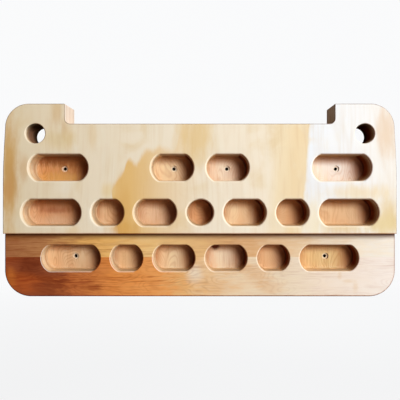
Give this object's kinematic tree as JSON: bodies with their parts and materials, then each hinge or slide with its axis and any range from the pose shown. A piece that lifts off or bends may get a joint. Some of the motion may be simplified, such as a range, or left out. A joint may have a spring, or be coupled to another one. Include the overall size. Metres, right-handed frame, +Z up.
{
  "type": "hangboard",
  "caption": "Wall-mounted wooden hangboard with rows of finger pockets, a stepped lower face and two drilled tabs.",
  "frame": {"origin": "middle of the back face, which lies on the wall", "axes": "+X across the board to the right as the climber faces it, +Y into the wall, +Z up"},
  "size_m": [0.6, 0.054, 0.295],
  "materials": {
    "face_layer_wood": "sanded birch, upright grain, thin clear oil",
    "upper_strip_wood": "sanded heartwood strip, level grain, thin clear oil",
    "lower_strip_wood": "sanded dark heartwood strip, level grain, thin clear oil",
    "inner_layer_wood": "routed birch, seen at edges and pocket walls",
    "back_layer_wood": "sanded birch, upright grain, unfinished"
  },
  "bodies": {
    "root": {"front_panel_face_layer": "face_layer_wood", "front_panel_core_upper_strip": "upper_strip_wood", "front_panel_core_lower_strip": "lower_strip_wood", "front_panel_back_layer": "inner_layer_wood", "middle_panel_face_layer": "inner_layer_wood", "middle_panel_core_upper_strip": "upper_strip_wood", "middle_panel_core_lower_strip": "lower_strip_wood", "middle_panel_back_layer": "inner_layer_wood", "back_panel_face_layer": "inner_layer_wood", "back_panel_core_upper_strip": "upper_strip_wood", "back_panel_core_lower_strip": "lower_strip_wood", "back_panel_back_layer": "back_layer_wood"}
  },
  "joints": []
}
